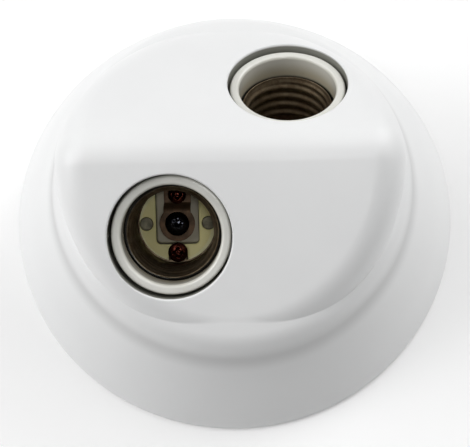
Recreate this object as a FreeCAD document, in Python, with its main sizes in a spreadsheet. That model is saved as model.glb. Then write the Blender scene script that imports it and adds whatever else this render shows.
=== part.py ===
import FreeCAD, Part
import math
import os
import re
import Sketcher

# Double ceiling lamp holder, in millimetres. The origin is the centre of the flat back that lies
# against the ceiling, +Z points away from the ceiling and the ridge of the roof runs along X.
# Each lamp socket has a frame of its own: u along the ridge, v up the slope, w out of the socket,
# with w = 0 on the slope's outer face.

SIZES = (
    ("rim_radius", 76.0, "outer radius of the cover at the ceiling"),
    ("rim_height", 1.5, "upright band at the foot of the skirt"),
    ("skirt_bulge", 0.7, "how far the skirt bows out of a straight cone"),
    ("groove_radius", 59.4, "radius at which skirt and steep wall would meet"),
    ("wall_drop", 8.3, "height of the steep wall between the skirt and the ledge"),
    ("wall_lean", 1.8, "how far the steep wall leans inwards"),
    ("ledge_width", 5.4, "from the roof block out to the groove"),
    ("ledge_drop", 0.02, "ledge below the lowest line of the slopes"),
    ("slope_angle", 25.4, "fall of each slope from the ridge, in degrees"),
    ("roof_fillet", 7.0, "rounding of the ridge and of the roof's edge"),
    ("wall", 2.2, "wall of the moulded cover"),
    ("catch_gap", 1.1, "gap between the mounting plate and the cover's three catches"),
    ("catch_height", 5.0, "height of the catches' undersides"),
    ("catch_thickness", 2.2, "thickness of each catch"),
    ("catch_angle", 26.0, "arc of each catch, in degrees"),
    ("socket_offset_x", 18.6, "socket centre from the middle, along the ridge"),
    ("socket_offset_y", 25.6, "socket centre from the middle, across the ridge"),
    ("opening_radius", 19.1, "round opening in each slope"),
    ("opening_chamfer", 0.5, "broken edge of the opening"),
    ("sleeve_depth", 13.0, "depth of the guide sleeve behind each opening"),
    ("sleeve_wall", 2.0, "wall of the guide sleeve"),
    ("post_offset", 23.0, "fixing posts from the socket's axis"),
    ("post_radius", 3.6, "outer radius of a fixing post"),
    ("ring_gap", 0.65, "gap between opening and porcelain collar"),
    ("front_drift", 0.34, "front holder off the middle of its opening, along and up the slope"),
    ("ring_recess", 2.4, "porcelain ring below the slope's face"),
    ("collar_height", 11.0, "length of the porcelain collar"),
    ("body_wall", 2.7, "porcelain round the screw shell"),
    ("mouth_radius", 15.4, "smooth bore inside the porcelain ring"),
    ("mouth_depth", 10.2, "length of the smooth bore"),
    ("lip_fillet", 1.1, "rounding of the ring's inner edge"),
    ("collar_fillet", 0.8, "rounding of the ring's outer edge"),
    ("socket_depth", 29.6, "from the ring down to the porcelain floor"),
    ("floor_thickness", 7.5, "porcelain below the floor"),
    ("base_chamfer", 1.0, "broken lower edge of the porcelain"),
    ("recess_width", 14.3, "width of the recess in the floor"),
    ("recess_reach", 6.9, "reach of the recess below the axis"),
    ("recess_top", 12.8, "reach of the recess above the axis"),
    ("recess_depth", 3.5, "depth of the recess in the floor"),
    ("recess_corner", 1.6, "rounded corners of the recess"),
    ("shell_radius", 13.25, "inner radius of the metal screw shell"),
    ("shell_wall", 0.4, "sheet thickness of the screw shell"),
    ("shell_gap", 0.25, "gap between screw shell and porcelain"),
    ("shell_top", 7.4, "top of the screw shell below the porcelain ring"),
    ("shell_rim", 1.25, "width of the shell's turned-out rim"),
    ("shell_rim_height", 0.6, "height of the shell's turned-out rim"),
    ("shell_neck", 12.9, "inner radius of the plain neck below the screw shell"),
    ("neck_height", 3.2, "height of the neck above the floor"),
    ("shell_foot", 0.6, "width of the shell's turned-in foot"),
    ("tab_width", 6.4, "width of the shell's fixing tab"),
    ("shell_screw_offset", 9.45, "shell screw from the axis, down the slope"),
    ("shell_screw_head", 3.25, "head radius of the shell screw"),
    ("contact_screw_offset", 9.5, "contact screw from the axis, up the slope"),
    ("contact_screw_head", 3.0, "head radius of the contact screw"),
    ("screw_head_height", 2.0, "height of the heads inside the socket"),
    ("screw_radius", 1.5, "shank radius of the screws through the floor"),
    ("screw_gap", 0.2, "gap round a shank where it passes through"),
    ("thread_gap", 0.05, "gap round a shank where it is screwed in"),
    ("strip_width", 9.0, "width of the centre contact strip"),
    ("strip_thickness", 0.5, "sheet thickness of the contact strip"),
    ("strip_ring", 5.85, "radius of the strip's round end"),
    ("strip_foot", 2.7, "half length of the strip's foot"),
    ("strip_clearance", 0.4, "free height above and below the strip's foot"),
    ("strip_rise", 3.2, "rise of the strip's round end above its foot"),
    ("bend_run", 1.8, "length of the sloping part of the strip"),
    ("strip_hole_gap", 0.4, "gap round the screw in the strip's foot"),
    ("button_radius", 4.0, "radius of the domed contact"),
    ("button_rim", 0.5, "upright edge of the domed contact"),
    ("button_dome", 1.3, "rise of the dome above its edge"),
    ("button_shank", 1.9, "radius of the button's riveted shank"),
    ("button_tail", 2.8, "radius of the shank's spread end"),
    ("tail_height", 0.5, "height of a spread end"),
    ("rivet_offset", 10.3, "rivets from the axis, along the ridge"),
    ("rivet_head", 2.1, "head radius of a rivet"),
    ("rivet_head_height", 0.6, "height of a rivet's head"),
    ("rivet_radius", 1.25, "shank radius of a rivet"),
    ("rivet_sink", 0.7, "depth of the seat of a rivet's head"),
    ("rivet_seat_gap", 0.2, "gap round a rivet's head"),
    ("terminal_thickness", 1.0, "sheet thickness of the terminals"),
    ("terminal_width", 6.8, "width of the terminals"),
    ("terminal_start", 4.2, "terminal plate behind its fixing screw"),
    ("terminal_reach", 10.2, "terminal plate beyond its fixing screw"),
    ("terminal_ear", 3.0, "folded ear at the terminal's end"),
    ("clamp_offset", 6.4, "wire screw from the fixing screw"),
    ("clamp_radius", 1.4, "shank radius of a wire screw"),
    ("clamp_length", 4.0, "shank of a wire screw above the plate"),
    ("clamp_head", 2.5, "head radius of a wire screw"),
    ("clamp_head_height", 1.8, "height of a wire screw's head"),
    ("bracket_width", 9.0, "width of the steel bracket"),
    ("bracket_thickness", 1.2, "sheet thickness of the steel bracket"),
    ("bracket_end", 4.2, "bracket beyond the centres of its end holes"),
    ("post_screw_radius", 1.3, "shank radius of a bracket screw"),
    ("post_screw_length", 10.0, "bracket screw's shank above the bracket"),
    ("post_screw_head", 2.7, "head radius of a bracket screw"),
    ("post_screw_head_height", 1.9, "head height of a bracket screw"),
    ("plate_inset", 11.5, "cover's rim beyond the mounting plate"),
    ("plate_thickness", 2.0, "thickness of the mounting plate"),
    ("plate_clearance", 5.42, "free height between the mounting plate and the lowest terminal"),
    ("cable_radius", 17.0, "cable opening in the mounting plate"),
    ("slot_offset", 42.0, "fixing slots from the middle, along the ridge"),
    ("slot_radius", 2.3, "half the width of a fixing slot"),
    ("slot_length", 16.0, "fixing slot from end to end"),
    ("hook_wall", 2.0, "wall of the plate's three hooks"),
    ("hook_reach", 3.4, "reach of the hooks past the plate"),
    ("hook_angle", 18.0, "arc of each hook, in degrees"),
    ("hook_gap", 0.3, "gap between a hook and its catch"),
)

# Sizes that follow from the others. The cover is as high as the lamp holders in it need.
DERIVED = (
    ("roof_radius", "=groove_radius - ledge_width", "radius of the roof block in plan"),
    ("plate_radius", "=rim_radius - plate_inset", "radius of the mounting plate"),
    ("catch_radius", "=plate_radius + catch_gap", "inner radius of the cover's three catches"),
    ("body_radius", "=shell_radius + shell_wall + shell_gap + body_wall",
     "radius of the porcelain body below its collar"),
    ("holder_depth", "=ring_recess + socket_depth + floor_thickness + terminal_thickness"
     " + terminal_ear", "from the slope's face down to the end of a terminal"),
    ("terminal_drop", "=(shell_screw_offset + terminal_width / 2) * sin(slope_angle * 1 deg)",
     "fall of the slope from a socket's axis to the lower terminal's edge"),
    ("socket_height", "=plate_thickness + plate_clearance + terminal_drop"
     " + holder_depth * cos(slope_angle * 1 deg)",
     "height of a socket's centre on the slope's face"),
    ("ridge_height", "=socket_height + socket_offset_y * tan(slope_angle * 1 deg)",
     "height at which the two slopes would meet"),
    ("shoulder_radius", "=groove_radius - wall_lean", "radius at which ledge and steep wall would meet"),
    ("shoulder_height", "=ridge_height - ledge_drop - shoulder_radius * tan(slope_angle * 1 deg)",
     "height at which ledge and steep wall would meet"),
    ("groove_height", "=shoulder_height - wall_drop", "height at which skirt and steep wall would meet"),
    ("shoulder_fillet", "=wall_drop * 1.24", "rounding of the ledge's outer edge"),
    ("groove_fillet", "=wall_drop * 1.95", "hollow rounding between skirt and steep wall"),
)

SIDES = (("front", 0.0), ("back", 180.0))
CATCH_TURNS = (90.0, 210.0, 330.0)

doc = FreeCAD.newDocument("double_ceiling_lamp_holder")
sheet = doc.addObject("Spreadsheet::Sheet", "Sizes")
for row, (alias, value, note) in enumerate(SIZES + DERIVED, 1):
    sheet.set("A%d" % row, note)
    sheet.set("B%d" % row, str(value))
    sheet.setAlias("B%d" % row, alias)
doc.recompute()

WORDS = re.compile(r"\b(" + "|".join(name for name, _, _ in SIZES + DERIVED) + r")\b")

# Places along a socket's axis, each worked out from the sizes above
RING_TOP = "(-ring_recess)"
COLLAR_RADIUS = "(opening_radius - ring_gap)"
COLLAR_FOOT = "(-ring_recess - collar_height)"
MOUTH_FOOT = "(-ring_recess - mouth_depth)"
RIM_TOP = "(-ring_recess - shell_top)"
RIM_LOW = "(-ring_recess - shell_top - shell_rim_height)"
FLOOR = "(-ring_recess - socket_depth)"
NECK_TOP = "(-ring_recess - socket_depth + neck_height)"
BACK_FACE = "(-ring_recess - socket_depth - floor_thickness)"
RECESS_FLOOR = "(-ring_recess - socket_depth - recess_depth)"
SHELL_OUTSIDE = "(shell_radius + shell_wall)"
SHELL_BORE = "(shell_radius + shell_wall + shell_gap)"
FOOT_LOW = "(%s + strip_clearance)" % RECESS_FLOOR
FOOT_TOP = "(%s + strip_thickness)" % FOOT_LOW
RING_LOW = "(%s + strip_rise)" % FOOT_LOW
RING_HIGH = "(%s + strip_thickness)" % RING_LOW
THROUGH_HOLE = "(screw_radius + screw_gap)"
THREAD_HOLE = "(screw_radius + thread_gap)"


def bound(text):
    # every size's name gets the sheet's name in front
    return WORDS.sub(r"Sizes.\1", text)


def size(text):
    value = doc.Sizes.evalExpression(str(text))
    return float(getattr(value, "Value", value))


def bind(item, prop, text):
    item.setExpression(prop, bound(text))


def plane(body, role):
    return next(f for f in body.Origin.OriginFeatures if f.Role == role)


def new_body(label, place=None):
    body = doc.addObject("PartDesign::Body", label)
    body.Label = label
    if place is not None:
        body.Placement = place
    return body


def new_sketch(body, name, role="XZ_Plane", lift=None):
    sketch = body.newObject("Sketcher::SketchObject", name)
    sketch.AttachmentSupport = (plane(body, role), "")
    sketch.MapMode = "FlatFace"
    if lift is not None:
        bind(sketch, "AttachmentOffset.Base.z", lift)
    return sketch


def pin(sketch, kind, places, text):
    number = sketch.addConstraint(Sketcher.Constraint(kind, *places, size(text)))
    bind(sketch, "Constraints[%d]" % number, text)


def outline(sketch, corners, bulges=None):
    # A closed outline run anticlockwise. A bulge bows the edge after its corner outwards.
    bulges = bulges or {}
    points = [FreeCAD.Vector(size(x), size(y), 0) for x, y in corners]
    first = sketch.GeometryCount
    count = len(points)
    for i, start in enumerate(points):
        end = points[(i + 1) % count]
        if i in bulges:
            along = end - start
            out = FreeCAD.Vector(along.y, -along.x, 0).normalize()
            middle = (start + end) * 0.5 + out * size(bulges[i])
            sketch.addGeometry(Part.Arc(start, middle, end))
        else:
            sketch.addGeometry(Part.LineSegment(start, end))
    for i in range(count):
        after = first + (i + 1) % count
        sketch.addConstraint(Sketcher.Constraint("Coincident", first + i, 2, after, 1))
    for i, (x, y) in enumerate(corners):
        pin(sketch, "DistanceX", (-1, 1, first + i, 1), x)
        pin(sketch, "DistanceY", (-1, 1, first + i, 1), y)
        if i in bulges:
            (x2, y2), rise = corners[(i + 1) % count], "(%s)" % bulges[i]
            chord = "((%s - %s)^2 + (%s - %s)^2)" % (x2, x, y2, y)
            pin(sketch, "Radius", (first + i,), "(%s / 8 / %s + %s / 2)" % (chord, rise, rise))


def dome(radius, rise):
    # the bulge that makes an edge down from the axis part of a ball centred on that axis
    ball = "(((%s)^2 + (%s)^2) / 2 / (%s))" % (radius, rise, rise)
    return "(%s - sqrt(%s^2 - %s * (%s) / 2))" % (ball, ball, ball, rise)


def circle(sketch, x, y, radius):
    centre = FreeCAD.Vector(size(x), size(y), 0)
    number = sketch.addGeometry(Part.Circle(centre, FreeCAD.Vector(0, 0, 1), size(radius)))
    pin(sketch, "DistanceX", (-1, 1, number, 3), x)
    pin(sketch, "DistanceY", (-1, 1, number, 3), y)
    pin(sketch, "Radius", (number,), radius)


def rectangle(sketch, left, low, right, high):
    outline(sketch, ((left, low), (right, low), (right, high), (left, high)))


def revolve(body, sketch, name="turned"):
    turned = body.newObject("PartDesign::Revolution", name)
    turned.Profile = sketch
    turned.ReferenceAxis = (sketch, ["V_Axis"])
    turned.Angle = 360.0
    doc.recompute()
    return turned


def pad(body, sketch, length, name="pad"):
    made = body.newObject("PartDesign::Pad", name)
    made.Profile = sketch
    bind(made, "Length", length)
    doc.recompute()
    return made


def pocket(body, sketch, depth, name="pocket"):
    # cuts down the sketch's axis, and stops if nothing was cut
    before = body.Tip.Shape.Volume
    made = body.newObject("PartDesign::Pocket", name)
    made.Profile = sketch
    bind(made, "Length", depth)
    doc.recompute()
    if not made.Shape.Volume < before - 1e-6:
        raise ValueError("%s cut nothing from %s" % (name, body.Label))
    return made


def ring_edges(shape, radius, height):
    # the names of the round edges about Z with that radius, at that height
    found = []
    for number, edge in enumerate(shape.Edges, 1):
        curve = edge.Curve
        if isinstance(curve, Part.Circle) and abs(curve.Radius - radius) < 1e-4:
            if abs(curve.Center.z - height) < 1e-4 and math.hypot(curve.Center.x, curve.Center.y) < 1e-4:
                found.append("Edge%d" % number)
    return found


def soften(body, base, kind, places, amount, name):
    # a fillet or chamfer on round edges, each given by radius and height
    names = []
    for radius, height in places:
        names += ring_edges(base.Shape, size(radius), size(height))
    made = body.newObject("PartDesign::" + kind, name)
    made.Base = (base, names)
    bind(made, "Radius" if kind == "Fillet" else "Size", amount)
    doc.recompute()
    return made


def socket_place(turn, u=0.0, v=0.0, w=0.0):
    tilt = FreeCAD.Rotation(FreeCAD.Vector(1, 0, 0), size("slope_angle"))
    spin = FreeCAD.Rotation(FreeCAD.Vector(0, 0, 1), turn)
    corner = FreeCAD.Vector(-size("socket_offset_x"), -size("socket_offset_y"), size("socket_height"))
    frame = FreeCAD.Placement(spin.multVec(corner), spin.multiply(tilt))
    return frame.multiply(FreeCAD.Placement(FreeCAD.Vector(u, v, w), FreeCAD.Rotation()))


def holder_place(side, turn):
    # the front holder sits a little off the middle of its opening
    drift = size("front_drift") if side == "front" else 0.0
    return socket_place(turn, drift, drift)


def cylinder(name, radius, low, high, place=None, u="0", v="0"):
    # a round bar about the given axis, from one height to another
    made = doc.addObject("Part::Cylinder", name)
    bind(made, "Radius", radius)
    bind(made, "Height", "%s - %s" % (high, low))
    shift = FreeCAD.Placement(FreeCAD.Vector(size(u), size(v), size(low)), FreeCAD.Rotation())
    made.Placement = shift if place is None else place.multiply(shift)
    return made


def combine(kind, name, shapes):
    made = doc.addObject("Part::" + kind, name)
    if kind == "Cut":
        made.Base, made.Tool = shapes
    else:
        made.Shapes = list(shapes)
    doc.recompute()
    return made


# The cover's form is a turned skirt with a shoulder, and a round roof block with two slopes.
# The same form, smaller by the wall, hollows it out.

def skirt_form(name, inset, low):
    # The ledge is a cone as steep as the slopes, so that each slope runs out into it.
    body = new_body(name)
    sketch = new_sketch(body, name + "_section")
    rim, groove = "(rim_radius - %s)" % inset, "(groove_radius - %s)" % inset
    shoulder, middle = "(shoulder_radius - %s)" % inset, "(roof_radius / 2)"
    fall = "tan(slope_angle * 1 deg)"
    tip = "(ridge_height - ledge_drop - %s / cos(slope_angle * 1 deg))" % inset
    top, edge = "(%s - %s * %s)" % (tip, middle, fall), "(%s - %s * %s)" % (tip, shoulder, fall)
    outline(sketch, (
        ("0", low), (rim, low), (rim, "rim_height"), (groove, "groove_height"),
        (shoulder, edge), (middle, top), ("0", top)), {2: "skirt_bulge"})
    turned = revolve(body, sketch, name + "_turned")
    hollow = soften(body, turned, "Fillet", ((groove, "groove_height"),),
                    "groove_fillet + %s" % inset, name + "_groove")
    soften(body, hollow, "Fillet", ((shoulder, edge),), "shoulder_fillet - %s" % inset,
           name + "_shoulder")
    return body


def roof_form(name, inset, low):
    ridge = "(ridge_height - %s / cos(slope_angle * 1 deg))" % inset
    eaves = "(%s - 2 * roof_radius * tan(slope_angle * 1 deg))" % ridge
    body = new_body(name + "_gable")
    sketch = new_sketch(body, name + "_section", "YZ_Plane", "-2 * roof_radius")
    span = "2 * roof_radius"
    outline(sketch, (
        ("-" + span, "%s - roof_radius" % eaves), (span, "%s - roof_radius" % eaves),
        (span, eaves), ("0", ridge), ("-" + span, eaves)))
    pad(body, sketch, "4 * roof_radius", name + "_pad")
    # the bar's seam is turned away from the ridge, where the roundings meet
    seam = FreeCAD.Placement(FreeCAD.Vector(), FreeCAD.Rotation(FreeCAD.Vector(0, 0, 1), 90))
    plan = cylinder(name + "_plan", "roof_radius - %s" % inset, low, "ridge_height + wall", seam)
    doc.recompute()
    block = combine("MultiCommon", name + "_block", (body, plan))
    edges = []
    for number, edge in enumerate(block.Shape.Edges, 1):
        heights = [vertex.Z for vertex in edge.Vertexes]
        level = edge.CenterOfMass.z
        if min(heights) > size(low) + 1.0 and level > size(low) + 1.0:
            edges.append(number)
    rounding = size("roof_fillet - (%s)" % inset)
    rounded = doc.addObject("Part::Fillet", name)
    rounded.Base = block
    rounded.Edges = [(number, rounding, rounding) for number in edges]
    doc.recompute()
    return rounded


def arc_block(name, inner, outer, low, high, angle, turn):
    # a piece of a ring about Z, centred on the given direction
    bar = doc.addObject("Part::Cylinder", name + "_outside")
    bar.Placement = FreeCAD.Placement(
        FreeCAD.Vector(0, 0, size(low)),
        FreeCAD.Rotation(FreeCAD.Vector(0, 0, 1), turn - size(angle) / 2))
    bind(bar, "Radius", outer)
    bind(bar, "Height", "%s - %s" % (high, low))
    bind(bar, "Angle", angle)
    core = cylinder(name + "_inside", inner, "(%s - 1)" % low, "(%s + 1)" % high)
    doc.recompute()
    return combine("Cut", name, (bar, core))


def make_cover():
    inside_low = "(-1)"
    outside = combine("MultiFuse", "cover_outside", (
        skirt_form("skirt", "0", "0"), roof_form("roof", "0", "(groove_height - 8)")))
    inside = combine("MultiFuse", "cover_inside", (
        skirt_form("skirt_hollow", "wall", inside_low),
        roof_form("roof_hollow", "wall", "(groove_height - 8)")))
    shell = combine("Cut", "cover_shell", (outside, inside))
    # the fittings behind the wall end halfway through it
    halfway = combine("MultiFuse", "cover_halfway", (
        skirt_form("skirt_halfway", "wall / 2", inside_low),
        roof_form("roof_halfway", "wall / 2", "(groove_height - 8)")))
    fittings, cutters = [], []
    for side, turn in SIDES:
        place, holder = socket_place(turn), holder_place(side, turn)
        fittings.append(cylinder(side + "_sleeve", "opening_radius + sleeve_wall",
                                 "(-sleeve_depth)", "0", place))
        cutters.append(cylinder(side + "_opening", "opening_radius",
                                "(-sleeve_depth - wall)", "roof_fillet", place))
        edge = doc.addObject("Part::Cone", side + "_opening_edge")
        bind(edge, "Radius1", "opening_radius")
        bind(edge, "Radius2", "opening_radius + 2 * opening_chamfer")
        bind(edge, "Height", "2 * opening_chamfer")
        edge.Placement = socket_place(turn, 0, 0, -size("opening_chamfer"))
        cutters.append(edge)
        for end, u in (("inner", "post_offset"), ("outer", "-post_offset")):
            name = "%s_%s_post" % (side, end)
            fittings.append(cylinder(name, "post_radius", BACK_FACE, "0", holder, u))
            cutters.append(cylinder(
                name + "_hole", "post_screw_radius + thread_gap", "(%s - 1)" % BACK_FACE,
                "(%s - bracket_thickness + post_screw_length + 2)" % BACK_FACE, holder, u))
    for number, turn in enumerate(CATCH_TURNS, 1):
        fittings.append(arc_block(
            "catch_%d" % number, "catch_radius", "rim_radius", "catch_height",
            "(catch_height + catch_thickness)", "catch_angle", turn))
    doc.recompute()
    fitted = combine("MultiFuse", "cover_fittings", fittings)
    trimmed = combine("MultiCommon", "cover_fittings_trimmed", (fitted, halfway))
    joined = combine("MultiFuse", "cover_joined", (shell, trimmed))
    cutter = combine("MultiFuse", "cover_cutter", cutters)
    cover = combine("Cut", "housing_cover", (joined, cutter))
    cover.Label = "housing_cover"
    return cover


def make_plate():
    body = new_body("mounting_plate")
    sketch = new_sketch(body, "plate_section")
    outline(sketch, (
        ("cable_radius", "0"), ("plate_radius", "0"), ("plate_radius", "plate_thickness"),
        ("cable_radius", "plate_thickness")))
    revolve(body, sketch, "plate_disc")
    slots = new_sketch(body, "plate_slots", "XY_Plane", "plate_thickness")
    ends = new_sketch(body, "plate_slot_ends", "XY_Plane", "plate_thickness")
    straight = "(slot_length / 2 - slot_radius)"
    for side in ("-", ""):
        middle = "(%sslot_offset)" % side
        left, right = "(%s - %s)" % (middle, straight), "(%s + %s)" % (middle, straight)
        rectangle(slots, left, "-slot_radius", right, "slot_radius")
        circle(ends, left, "0", "slot_radius")
        circle(ends, right, "0", "slot_radius")
    pocket(body, slots, "plate_thickness", "plate_slot_cut")
    pocket(body, ends, "plate_thickness", "plate_slot_round")
    pieces = [body]
    hook_low = "(catch_height + catch_thickness + hook_gap)"
    hook_top = "(catch_height + catch_thickness + hook_gap + hook_wall)"
    for number, turn in enumerate(CATCH_TURNS, 1):
        pieces.append(arc_block("hook_wall_%d" % number, "plate_radius - hook_wall", "plate_radius",
                                "plate_thickness", hook_top, "hook_angle", turn))
        pieces.append(arc_block("hook_%d" % number, "plate_radius - hook_wall / 2",
                                "plate_radius + hook_reach", hook_low, hook_top, "hook_angle", turn))
    plate = combine("MultiFuse", "mounting_plate_whole", pieces)
    body.Label = "plate_body"
    plate.Label = "mounting_plate"
    return plate


def make_ceramic(side, place):
    body = new_body(side + "_ceramic_body", place)
    sketch = new_sketch(body, side + "_ceramic_section")
    outline(sketch, (
        ("0", BACK_FACE), ("body_radius", BACK_FACE), ("body_radius", COLLAR_FOOT),
        (COLLAR_RADIUS, COLLAR_FOOT), (COLLAR_RADIUS, RING_TOP), ("mouth_radius", RING_TOP),
        ("mouth_radius", MOUTH_FOOT), (SHELL_BORE, MOUTH_FOOT), (SHELL_BORE, FLOOR),
        ("0", FLOOR)))
    turned = revolve(body, sketch, side + "_ceramic_turned")
    lip = soften(body, turned, "Fillet", (("mouth_radius", RING_TOP),), "lip_fillet", side + "_lip")
    rim = soften(body, lip, "Fillet", ((COLLAR_RADIUS, RING_TOP),), "collar_fillet", side + "_rim")
    soften(body, rim, "Chamfer", (("body_radius", BACK_FACE),), "base_chamfer", side + "_base_edge")

    recess = new_sketch(body, side + "_recess_outline", "XY_Plane", FLOOR)
    half, corner, low, top = "recess_width / 2", "recess_corner", "-recess_reach", "recess_top"
    bow = "recess_corner * 0.29289"
    outline(recess, (
        ("(-%s + %s)" % (half, corner), "(%s)" % low), ("(%s - %s)" % (half, corner), "(%s)" % low),
        ("(%s)" % half, "(%s + %s)" % (low, corner)), ("(%s)" % half, top), ("(-%s)" % half, top),
        ("(-%s)" % half, "(%s + %s)" % (low, corner))), {1: bow, 5: bow})
    pocket(body, recess, "recess_depth", side + "_recess")

    holes = new_sketch(body, side + "_floor_holes", "XY_Plane", FLOOR)
    circle(holes, "0", "contact_screw_offset", THROUGH_HOLE)
    circle(holes, "0", "-shell_screw_offset", THROUGH_HOLE)
    for u in ("rivet_offset", "-rivet_offset"):
        circle(holes, u, "0", "rivet_radius + thread_gap")
    pocket(body, holes, "floor_thickness + 1", side + "_through_holes")
    seats = new_sketch(body, side + "_rivet_seats", "XY_Plane", FLOOR)
    for u in ("rivet_offset", "-rivet_offset"):
        circle(seats, u, "0", "rivet_head + rivet_seat_gap")
    pocket(body, seats, "rivet_sink", side + "_rivet_sinks")
    reliefs = new_sketch(body, side + "_wire_screw_reliefs", "XY_Plane",
                         "%s + clamp_length + screw_gap" % BACK_FACE)
    for v in ("contact_screw_offset", "-shell_screw_offset"):
        circle(reliefs, "clamp_offset", v, "clamp_radius + screw_gap")
    pocket(body, reliefs, "clamp_length + screw_gap", side + "_wire_screw_holes")
    return body


def make_shell(side, place):
    body = new_body(side + "_screw_shell", place)
    sketch = new_sketch(body, side + "_shell_section")
    rim_out, neck_out = "(shell_radius + shell_rim)", "(shell_neck + shell_wall)"
    foot_in, foot_top = "(shell_neck - shell_foot)", "(%s + shell_wall)" % FLOOR
    step = "(%s - shell_wall)" % NECK_TOP
    outline(sketch, (
        (foot_in, FLOOR), (neck_out, FLOOR), (neck_out, step), (SHELL_OUTSIDE, step),
        (SHELL_OUTSIDE, RIM_LOW), (rim_out, RIM_LOW), (rim_out, RIM_TOP),
        ("shell_radius", RIM_TOP), ("shell_radius", NECK_TOP), ("shell_neck", NECK_TOP),
        ("shell_neck", foot_top), (foot_in, foot_top)))
    revolve(body, sketch, side + "_shell_turned")
    tab = new_sketch(body, side + "_tab_outline", "XY_Plane", FLOOR)
    wide, tip = "tab_width / 2", "(-shell_screw_offset)"
    rectangle(tab, "(-%s)" % wide, "(-shell_neck)", "(%s)" % wide, tip)
    circle_end = new_sketch(body, side + "_tab_end", "XY_Plane", FLOOR)
    circle(circle_end, "0", "-shell_screw_offset", wide)
    pad(body, tab, "shell_wall", side + "_tab")
    pad(body, circle_end, "shell_wall", side + "_tab_round")
    hole = new_sketch(body, side + "_tab_hole", "XY_Plane", "%s + shell_wall" % FLOOR)
    circle(hole, "0", "-shell_screw_offset", THROUGH_HOLE)
    pocket(body, hole, "shell_wall + 1", side + "_tab_bore")
    return body


def turned_screw(label, place, v, seat, head_radius, head_height, shank_radius, end, up=True, u="0"):
    # a pan-headed screw whose head sits on the seat and whose shank runs to the end
    shift = FreeCAD.Placement(FreeCAD.Vector(size(u), size(v), 0), FreeCAD.Rotation())
    body = new_body(label, place.multiply(shift))
    sketch = new_sketch(body, label + "_section")
    crown = "%s * 0.45" % head_height
    if up:
        top, rim = "(%s + %s)" % (seat, head_height), "(%s + %s - %s)" % (seat, head_height, crown)
        outline(sketch, (
            ("0", end), (shank_radius, end), (shank_radius, seat), (head_radius, seat),
            (head_radius, rim), ("0", top)), {4: dome(head_radius, crown)})
    else:
        top, rim = "(%s - %s)" % (seat, head_height), "(%s - %s + %s)" % (seat, head_height, crown)
        outline(sketch, (
            ("0", top), (head_radius, rim), (head_radius, seat), (shank_radius, seat),
            (shank_radius, end), ("0", end)), {0: dome(head_radius, crown)})
    revolve(body, sketch, label + "_turned")
    return body


def group(label, members):
    # like fasteners share one node, each as a solid of its own
    made = doc.addObject("Part::Compound", label)
    made.Links = members
    made.Label = label
    doc.recompute()
    return made


def make_strip(side, place):
    body = new_body(side + "_strip_bent", place)
    profile = new_sketch(body, side + "_strip_profile", "YZ_Plane", "(-strip_ring)")
    foot_end = "(contact_screw_offset + strip_foot)"
    bend_foot = "(contact_screw_offset - strip_foot - strip_clearance)"
    bend_top = "(contact_screw_offset - strip_foot - strip_clearance - bend_run)"
    tip = "(-strip_ring)"
    outline(profile, (
        (foot_end, FOOT_LOW), (foot_end, FOOT_TOP), (bend_foot, FOOT_TOP), (bend_top, RING_HIGH),
        (tip, RING_HIGH), (tip, RING_LOW), ("(%s - strip_thickness / 2)" % bend_top, RING_LOW),
        ("(%s - strip_thickness / 2)" % bend_foot, FOOT_LOW)))
    pad(body, profile, "2 * strip_ring", side + "_strip_pad")
    plan = new_body(side + "_strip_plan", place)
    flat = new_sketch(plan, side + "_strip_outline", "XY_Plane", "%s - 1" % FOOT_LOW)
    wide = "strip_width / 2"
    rectangle(flat, "(-%s)" % wide, "0", "(%s)" % wide, foot_end)
    ring = new_sketch(plan, side + "_strip_ring", "XY_Plane", "%s - 1" % FOOT_LOW)
    circle(ring, "0", "0", "strip_ring")
    height = "strip_rise + strip_thickness + 2"
    pad(plan, flat, height, side + "_strip_bar")
    pad(plan, ring, height, side + "_strip_end")
    holes = new_sketch(plan, side + "_strip_holes", "XY_Plane", "%s + 1" % RING_HIGH)
    circle(holes, "0", "contact_screw_offset", "screw_radius + strip_hole_gap")
    circle(holes, "0", "0", "button_shank + thread_gap")
    pocket(plan, holes, height + " + 2", side + "_strip_hole_cut")
    strip = combine("MultiCommon", side + "_contact_strip", (body, plan))
    strip.Label = side + "_contact_strip"
    return strip


def make_button(side, place):
    body = new_body(side + "_contact_button", place)
    sketch = new_sketch(body, side + "_button_section")
    tail, edge = "(%s - tail_height)" % RING_LOW, "(%s + button_rim)" % RING_HIGH
    top = "(%s + button_rim + button_dome)" % RING_HIGH
    outline(sketch, (
        ("0", tail), ("button_tail", tail), ("button_tail", RING_LOW), ("button_shank", RING_LOW),
        ("button_shank", RING_HIGH), ("button_radius", RING_HIGH), ("button_radius", edge),
        ("0", top)), {6: dome("button_radius", "button_dome")})
    revolve(body, sketch, side + "_button_turned")
    return body


def make_terminal(label, place, v):
    shift = FreeCAD.Placement(FreeCAD.Vector(0, size(v), 0), FreeCAD.Rotation())
    body = new_body(label, place.multiply(shift))
    profile = new_sketch(body, label + "_profile", "XZ_Plane", "(-terminal_width / 2)")
    low = "(%s - terminal_thickness)" % BACK_FACE
    ear = "(terminal_reach - terminal_thickness)"
    outline(profile, (
        ("(-terminal_start)", low), (ear, low), (ear, "(%s - terminal_ear)" % low),
        ("terminal_reach", "(%s - terminal_ear)" % low), ("terminal_reach", BACK_FACE),
        ("(-terminal_start)", BACK_FACE)))
    pad(body, profile, "terminal_width", label + "_folded")
    holes = new_sketch(body, label + "_holes", "XY_Plane", BACK_FACE)
    circle(holes, "0", "0", THREAD_HOLE)
    circle(holes, "clamp_offset", "0", "clamp_radius + thread_gap")
    pocket(body, holes, "terminal_thickness + 1", label + "_tapped")
    return body


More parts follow.
